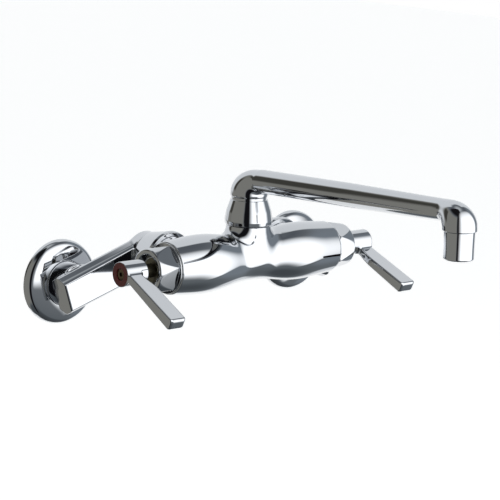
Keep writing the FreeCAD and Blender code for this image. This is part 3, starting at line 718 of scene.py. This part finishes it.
def moulded(name, code, dark_code, roughness, grain_mm):
    """Moulded plastic or rubber: fine grain in the gloss and a slight mottle in the colour."""
    material, tree = blank(name)
    place = add(tree, "ShaderNodeTexCoord").outputs["Object"]
    grain = add(tree, "ShaderNodeTexNoise", {"Scale": 1000 / grain_mm, "Detail": 4.0}, Vector=place)
    bump = add(tree, "ShaderNodeBump", {"Strength": 0.4, "Distance": 0.00003}, Height=grain)
    mottled(tree, grain, (dark_code, code), 0.65, roughness, 0.0, bump)
    return material


def machined(name, code, dark_code, roughness, groove_mm):
    """Bare turned metal: fine tool rings and a little tarnish."""
    material, tree = blank(name)
    place = add(tree, "ShaderNodeTexCoord").outputs["Object"]
    bands = {
        "wave_type": "BANDS", "bands_direction": "X",
        "Scale": WAVE_SCALE / groove_mm, "Distortion": 0.4}
    rings = add(tree, "ShaderNodeTexWave", bands, Vector=place).outputs["Fac"]
    noise = {"Scale": 1000 / TARNISH_MM, "Detail": 4.0}
    tarnish = add(tree, "ShaderNodeTexNoise", noise, Vector=place)
    bump = add(tree, "ShaderNodeBump", {"Strength": 0.3, "Distance": 0.00002}, Height=rings)
    mottled(tree, tarnish, (dark_code, code), 0.6, roughness, 1.0, bump)
    return material


# Cast brass, buffed and chrome plated: a true mirror with a cool grey cast
CAST_CHROME = plated("chrome_plated_cast_brass", "C9CBCE", 0.035, 26.0, 0.00002)
# Turned brass, chrome plated: the same mirror with truer curves
TURNED_CHROME = plated("chrome_plated_turned_brass", "C9CBCE", 0.03, 18.0, 0.00001)
# Bare turned brass of the cartridges and tails: warm and slightly dulled
TURNED_BRASS = machined("turned_brass", "B99556", "7C6136", 0.28, 0.4)
# The stems and cartridge ends in the bonnets' recesses: brass with painted shade, a dark olive grey
# that stands in for the shade in the recesses
RECESS_SHADED_BRASS = machined("dulled_turned_brass", "86826F", "55524A", 0.34, 0.4)
# Stainless socket screw, gone brown in the recess
SOCKET_SCREW = machined("socket_screw_steel", "8C7A5E", "4E463A", 0.3, 0.3)
# Moulded index rings, a dull brick red and a deep blue
RED_RING = moulded("moulded_red_plastic", "7A2F2C", "6A2725", 0.35, 0.8)
BLUE_RING = moulded("moulded_blue_plastic", "2B4A86", "243F75", 0.35, 0.8)
# Nitrile seals and washers: soft black
NITRILE = moulded("moulded_nitrile_rubber", "1B1B1D", "121214", 0.55, 0.5)
# Acetal of the aerator insert and the retaining ring: waxy pale grey
ACETAL = moulded("moulded_acetal", "A9ABAA", "979998", 0.4, 0.6)


# Pieces

def finish_piece(piece, body, node, material):
    """Gives a piece its material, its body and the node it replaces."""
    piece.data.materials.clear()
    piece.data.materials.append(material)
    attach(piece, body)
    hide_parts(node)


def side_turn(side):
    """Maps a right-hand piece to its own side."""
    def turn(points, normals):
        if side == "cold":
            return points, normals, False
        flip = np.array([-1, 1, 1])
        return points * flip, normals * flip, True
    return turn


def lever_turn(side):
    """Puts a handle on its side: the same casting, turned over on the cold side."""
    def turn(points, normals):
        cosine = math.cos(LEVER_DROP)
        sine = math.sin(LEVER_DROP)
        over = 1 if side == "hot" else -1
        hand = 1 if side == "cold" else -1

        def place(p):
            h = p[:, 2] * over
            y = -p[:, 1] * cosine - h * sine
            z = h * cosine - p[:, 1] * sine
            return np.stack([p[:, 0] * hand, y, z], 1)
        return place(points), place(normals), over * hand > 0
    return turn


def arm_turn(side):
    """Drops an arm by its fall and puts it at its own inlet."""
    def turn(points, normals):
        cosine = math.cos(ARM_FALL)
        sine = math.sin(ARM_FALL)
        hand = 1 if side == "cold" else -1

        def place(p):
            across = p[:, 0] * cosine + p[:, 2] * sine
            up = p[:, 2] * cosine - p[:, 0] * sine
            return np.stack([across * hand, p[:, 1], up], 1)
        shifted = place(points) + np.array([HALF_INLETS * hand, 0, 0])
        return shifted, place(normals), hand < 0
    return turn


body = formed("body_casting", body_form, (-73, -21, -21), (73, 32, 34), COARSE)
finish_piece(body, "valve_body", "faucet_body", CAST_CHROME)

rings, outlet_z = spout_rings()
spout = swept("spout_tube", rings)
finish_piece(spout, "swing_spout", "spout", CAST_CHROME)

spout_nut = turned("spout_nut_skin", SPOUT_NUT_OUTLINE, "z")
finish_piece(spout_nut, "valve_body", "spout_nut", TURNED_CHROME)

aerator = turned("aerator_shell", [
    (AERATOR_NECK_TOP, AERATOR_BORE),
    (AERATOR_NECK_TOP, AERATOR_NECK_RADIUS),
    (-AERATOR_SEAM, AERATOR_NECK_RADIUS),
    (-AERATOR_SEAM, AERATOR_RADIUS, 0.4),
    (-AERATOR_HEIGHT * 0.6, AERATOR_MIDDLE_RADIUS, 4),
    (-AERATOR_HEIGHT, AERATOR_LOW_RADIUS, 1.6),
    (-AERATOR_HEIGHT, AERATOR_MOUTH, 0.3),
    (-AERATOR_HEIGHT + AERATOR_LIP, AERATOR_MOUTH),
    (-AERATOR_HEIGHT + AERATOR_LIP, AERATOR_BORE),
], "z", (0, -SPOUT_REACH, outlet_z))
finish_piece(aerator, "swing_spout", "aerator_housing", TURNED_CHROME)

wall_across = HALF_INLETS + ARM_LENGTH * math.cos(ARM_FALL)
bonnet_box = ((72.3, -18, -18), (90, 18, 18))
lever_box = ((93, -9, -9), (113, 60, 9))
arm_box = ((-16, 42, -16), (76, 73, 16))
for side, sign in (("hot", -1), ("cold", 1)):
    form = bonnet_form(BONNET_TURN[side])
    bonnet = formed(side + "_bonnet_nut", form, *bonnet_box, FINE, side_turn(side))
    finish_piece(bonnet, "valve_body", side + "_bonnet", TURNED_CHROME)

    lever = formed(side + "_lever", lever_form, *lever_box, FINE, lever_turn(side))
    finish_piece(lever, side + "_handle", side + "_lever_handle", CAST_CHROME)

    ring_back = sign * (HUB_END - RING_THICKNESS)
    ring_face = sign * (HUB_END - RING_SUNK)
    ring = turned(side + "_index", [
        (ring_back, RING_HOLE),
        (ring_face, RING_HOLE, RING_ROUND),
        (ring_face, RING_OUTER, RING_ROUND),
        (ring_back, RING_OUTER),
    ], "x")
    ring_slot, ring_material = ("red_index", RED_RING) if side == "hot" else ("blue_index", BLUE_RING)
    finish_piece(ring, side + "_handle", side + "_index_ring", ring_material)

    nut = turned(side + "_union_nut_skin", [
        (UNION_NUT_FRONT, UNION_NUT_BIG - UNION_NUT_CROWN_DROP, 0.6),
        (UNION_NUT_FRONT + UNION_NUT_CROWN, UNION_NUT_BIG, 1.6),
        (UNION_NUT_BACK, UNION_NUT_SMALL, 0.8),
        (UNION_NUT_BACK, TAIL_RADIUS + RUNNING_FIT),
        (UNION_LIP_FRONT, TAIL_RADIUS + RUNNING_FIT),
        (UNION_LIP_FRONT, UNION_THREAD_RADIUS + THREAD_FIT),
        (UNION_NUT_FRONT, UNION_THREAD_RADIUS + THREAD_FIT),
    ], "y", (sign * HALF_INLETS, 0, 0))
    finish_piece(nut, "valve_body", side + "_union_nut", TURNED_CHROME)

    arm = formed(side + "_arm_casting", arm_form, *arm_box, MEDIUM, arm_turn(side))
    finish_piece(arm, side + "_arm", side + "_supply_arm", CAST_CHROME)

    outline = flange_outline(BOSS_RADIUS + RUNNING_FIT)
    centre = (sign * wall_across, 0, -ARM_DROP)
    flange = turned(side + "_flange_plate", outline, "y", centre, 192)
    finish_piece(flange, side + "_arm", side + "_wall_flange", TURNED_CHROME)

# Inner nodes that are carried over as they are
node_materials = {
    # the stem and cartridge ends get brass with the recesses' shade painted into its colour
    "cartridge_housing": RECESS_SHADED_BRASS,
    "stem": RECESS_SHADED_BRASS,
    "plunger": TURNED_BRASS,
    "union_tail": TURNED_BRASS,
    "handle_screw": SOCKET_SCREW,
    "housing_seal": NITRILE,
    "stem_seal": NITRILE,
    "seat_washer": NITRILE,
    "union_washer": NITRILE,
    "spout_seals": NITRILE,
    "aerator_washer": NITRILE,
    "spout_retainer": ACETAL,
    "aerator_insert": ACETAL,
}
for name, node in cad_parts.items():
    kind = name.replace("hot_", "").replace("cold_", "")
    material = node_materials.get(kind, TURNED_CHROME)
    node.data.materials.clear()
    node.data.materials.append(material)


# Studio

# Patches of the room around the object, as the chrome mirrors them. Azimuth is in degrees from
# the front (-Y) towards +X, height in degrees above level. Each range has its own soft edge.
# (azimuth from, to, edge), (height from, to, edge), colour
ROOM = [
    # the room to the left, warm grey
    ((-170, -66, 10), (-50, 44, 12), "91908A"),
    # the room to the right, cool slate
    ((57, 104, 8), (-38, 44, 14), "8B939B"),
    # dark gap behind the camera and above it
    ((-64, -36, 8), (-75, 75, 10), "17171A"),
    ((-140, -22, 16), (50, 90, 14), "1C1C1E"),
    # white backdrop behind the object, on both sides of the cut at 180 degrees
    ((102, 168, 8), (-44, 62, 8), "F3F6F9"),
    ((160, 190, 8), (-6, 62, 12), "F3F6F9"),
    ((-190, -158, 8), (-6, 62, 12), "F3F6F9"),
    # the backdrop's far edge, a dark stand
    ((-154, -136, 6), (4, 36, 12), "4A4944"),
]
# What is left between the patches, by height from straight down to straight up
AROUND = [(-90, "45494B"), (-57, "54595D"), (-47, "6E7478"), (-16, "82868A"), (10, "8C8F92"),
          (48, "767B80"), (60, "62676E"), (70, "74797E"), (82, "C8CCCE")]
# Softbox in front of the object, in the plane Y = SOFTBOX_PLANE, in metres. Its light fades at
# the sides, at the top and across its lower right corner, as (from, to, (edge, edge)) along X, Z
# and X - Z. Its lower edge is level up to the corner and slants down beyond it, and fades more
# slowly the further it goes.
SOFTBOX_PLANE = -0.542
SOFTBOX_ACROSS = (-0.245, 0.79, (0.26, 0.72))
SOFTBOX_UP = (-2.0, 0.70, (0.1, 1.0))
SOFTBOX_SLANT = (-2.0, 1.05, (0.1, 0.16))
SOFTBOX_CORNER = (0.055, -0.095)
SOFTBOX_LOW_EDGE = 0.12
SOFTBOX_LOW_EDGE_GROWTH = 0.6
SOFTBOX_LOW = (-0.45, -1.10)
SOFTBOX_HIGH = (1.20, 1.15)
SOFTBOX_LEVEL = 1.65
WHITE = (1, 1, 1, 1)
# Floor sheet, in metres, and how much it adds to what the camera and the chrome see of it
FLOOR_LOW = (-0.15, 0.12)
FLOOR_HIGH = (4, 7)
FLOOR_LEVEL = -0.3
FLOOR_GLOW = 0.65
PAPER_FIBRE_MM = 1.5
# Camera fitted to the photograph: focal length in pixels of the photograph's width, sensor width
# in millimetres, place in metres, and its axes
CAMERA_FOCUS = 2379.87
PHOTO_WIDTH = 500
CAMERA_SENSOR = 36.0
CAMERA_PLACE = (-1.06735, -1.30533, 0.34057)
CAMERA_RIGHT = (0.75768, -0.65202, 0.02817)
CAMERA_UP = (0.10393, 0.16316, 0.98111)


def span(tree, value, low, high, edges):
    """One inside a range, nought outside it, with soft edges."""
    low_edge, high_edge = edges if isinstance(edges, tuple) else (edges, edges)
    rise = (low - low_edge / 2, low + low_edge / 2)
    fall = (high + high_edge / 2, high - high_edge / 2)
    steps = []
    for start, end in (rise, fall):
        limits = {"interpolation_type": "SMOOTHSTEP", "From Min": start, "From Max": end}
        steps.append(add(tree, "ShaderNodeMapRange", limits, value))
    return add(tree, MATH, {"operation": "MULTIPLY"}, *steps)


def light_room():
    """World with the room's patches for the chrome and plain white for the camera."""
    world = bpy.data.worlds.new("studio")
    bpy.context.scene.world = world
    world.use_nodes = True
    sky = world.node_tree
    sky.nodes.clear()
    place = add(sky, "ShaderNodeTexCoord").outputs["Generated"]
    split = add(sky, "ShaderNodeSeparateXYZ", {}, place)
    front = add(sky, MATH, {"operation": "MULTIPLY"}, split.outputs["Y"], -1.0)
    azimuth = add(sky, MATH, {"operation": "ARCTAN2"}, split.outputs["X"], front)
    azimuth = add(sky, MATH, {"operation": "DEGREES"}, azimuth)
    height = add(sky, MATH, {"operation": "ARCSINE"}, split.outputs["Z"])
    height = add(sky, MATH, {"operation": "DEGREES"}, height)
    share = add(sky, "ShaderNodeMapRange", {"From Min": -90.0, "From Max": 90.0}, height)
    ramp = add(sky, "ShaderNodeValToRGB", {}, share)
    while len(ramp.color_ramp.elements) < len(AROUND):
        ramp.color_ramp.elements.new(0.5)
    for element, (level, code) in zip(ramp.color_ramp.elements, AROUND):
        element.position = (level + 90) / 180
        element.color = linear(code)
    room = add(sky, "ShaderNodeBackground", {"Strength": 1.0}, ramp)
    for across, upward, code in ROOM:
        patch = add(sky, "ShaderNodeBackground", {"Color": linear(code), "Strength": 1.0})
        where = [span(sky, azimuth, *across), span(sky, height, *upward)]
        where = add(sky, MATH, {"operation": "MULTIPLY"}, *where)
        room = add(sky, "ShaderNodeMixShader", {}, where, room, patch)
    white = add(sky, "ShaderNodeBackground", {"Color": WHITE, "Strength": 1.0})
    path = add(sky, "ShaderNodeLightPath")
    room = add(sky, "ShaderNodeMixShader", {}, path.outputs["Is Camera Ray"], room, white)
    add(sky, "ShaderNodeOutputWorld", {}, room)


def hang_softbox():
    """Area lamp in front of the object whose own mask shapes its light."""
    width = SOFTBOX_HIGH[0] - SOFTBOX_LOW[0]
    tall = SOFTBOX_HIGH[1] - SOFTBOX_LOW[1]
    light = bpy.data.lights.new("softbox", "AREA")
    light.shape = "RECTANGLE"
    light.size = width
    light.size_y = tall
    light.energy = SOFTBOX_LEVEL * math.pi * width * tall
    light.use_nodes = True
    tree = light.node_tree
    tree.nodes.clear()
    place = add(tree, "ShaderNodeNewGeometry").outputs["Position"]
    split = add(tree, "ShaderNodeSeparateXYZ", {}, place)
    x = split.outputs["X"]
    z = split.outputs["Z"]
    past = add(tree, MATH, {"operation": "SUBTRACT"}, x, SOFTBOX_CORNER[0])
    past = add(tree, MATH, {"operation": "MAXIMUM"}, past, 0.0)
    above = add(tree, MATH, {"operation": "SUBTRACT"}, z, SOFTBOX_CORNER[1])
    above = add(tree, MATH, {"operation": "ADD"}, above, past)
    fade = add(tree, MATH, {"operation": "MULTIPLY"}, past, SOFTBOX_LOW_EDGE_GROWTH)
    fade = add(tree, MATH, {"operation": "ADD"}, fade, SOFTBOX_LOW_EDGE)
    above = add(tree, MATH, {"operation": "DIVIDE"}, above, fade)
    limits = {"interpolation_type": "SMOOTHSTEP", "From Min": -0.5, "From Max": 0.5}
    lit = add(tree, "ShaderNodeMapRange", limits, above)
    slant = add(tree, MATH, {"operation": "SUBTRACT"}, x, z)
    for value, limits in ((x, SOFTBOX_ACROSS), (z, SOFTBOX_UP), (slant, SOFTBOX_SLANT)):
        lit = add(tree, MATH, {"operation": "MULTIPLY"}, lit, span(tree, value, *limits))
    glow = add(tree, "ShaderNodeEmission", {"Color": WHITE}, Strength=lit)
    add(tree, "ShaderNodeOutputLight", {}, glow)
    lamp = bpy.data.objects.new("softbox", light)
    lamp.visible_camera = False
    middle_x = (SOFTBOX_HIGH[0] + SOFTBOX_LOW[0]) / 2
    middle_z = (SOFTBOX_HIGH[1] + SOFTBOX_LOW[1]) / 2
    lamp.location = (middle_x, SOFTBOX_PLANE, middle_z)
    lamp.rotation_euler = (math.radians(90), 0, 0)
    bpy.context.collection.objects.link(lamp)


def lay_floor():
    """Pale floor of white paper: full white where it is lit, darker in the object's shadow."""
    paper, tree = blank("white_floor_paper")
    place = add(tree, "ShaderNodeTexCoord").outputs["Object"]
    noise = {"Scale": 1000 / PAPER_FIBRE_MM, "Detail": 3.0}
    fibre = add(tree, "ShaderNodeTexNoise", noise, Vector=place)
    bump = add(tree, "ShaderNodeBump", {"Strength": 0.2, "Distance": 0.0001}, Height=fibre)
    matt = {"Base Color": linear("F2F2F0"), "Roughness": 0.95}
    paint = add(tree, "ShaderNodeBsdfPrincipled", matt, Normal=bump)
    path = add(tree, "ShaderNodeLightPath").outputs
    seen = path["Is Camera Ray"]
    for ray in ("Is Glossy Ray", "Is Transmission Ray"):
        seen = add(tree, MATH, {"operation": "ADD", "use_clamp": True}, seen, path[ray])
    level = add(tree, MATH, {"operation": "MULTIPLY"}, seen, FLOOR_GLOW)
    glow = add(tree, "ShaderNodeEmission", {"Color": WHITE}, Strength=level)
    both = add(tree, "ShaderNodeAddShader", {}, paint, glow)
    add(tree, "ShaderNodeOutputMaterial", {}, both)
    (near_x, near_y), (far_x, far_y) = FLOOR_LOW, FLOOR_HIGH
    outline = [(near_x, near_y), (far_x, near_y), (far_x, far_y), (near_x, far_y)]
    sheet = bpy.data.meshes.new("floor")
    sheet.from_pydata([(x, y, FLOOR_LEVEL) for x, y in outline], [], [(0, 1, 2, 3)])
    sheet.materials.append(paper)
    floor = bpy.data.objects.new("floor", sheet)
    bpy.context.collection.objects.link(floor)


def set_camera():
    """Camera at the photograph's angle."""
    lens = bpy.data.cameras.new("photo_camera")
    lens.sensor_width = CAMERA_SENSOR
    lens.lens = CAMERA_FOCUS / PHOTO_WIDTH * CAMERA_SENSOR
    camera = bpy.data.objects.new("photo_camera", lens)
    right = Vector(CAMERA_RIGHT).normalized()
    back = right.cross(Vector(CAMERA_UP).normalized()).normalized()
    turn = Matrix((right, back.cross(right), back)).transposed().to_4x4()
    camera.matrix_world = Matrix.Translation(CAMERA_PLACE) @ turn
    bpy.context.collection.objects.link(camera)
    bpy.context.scene.camera = camera
    bpy.context.scene.view_settings.view_transform = "Standard"


light_room()
hang_softbox()
lay_floor()
set_camera()
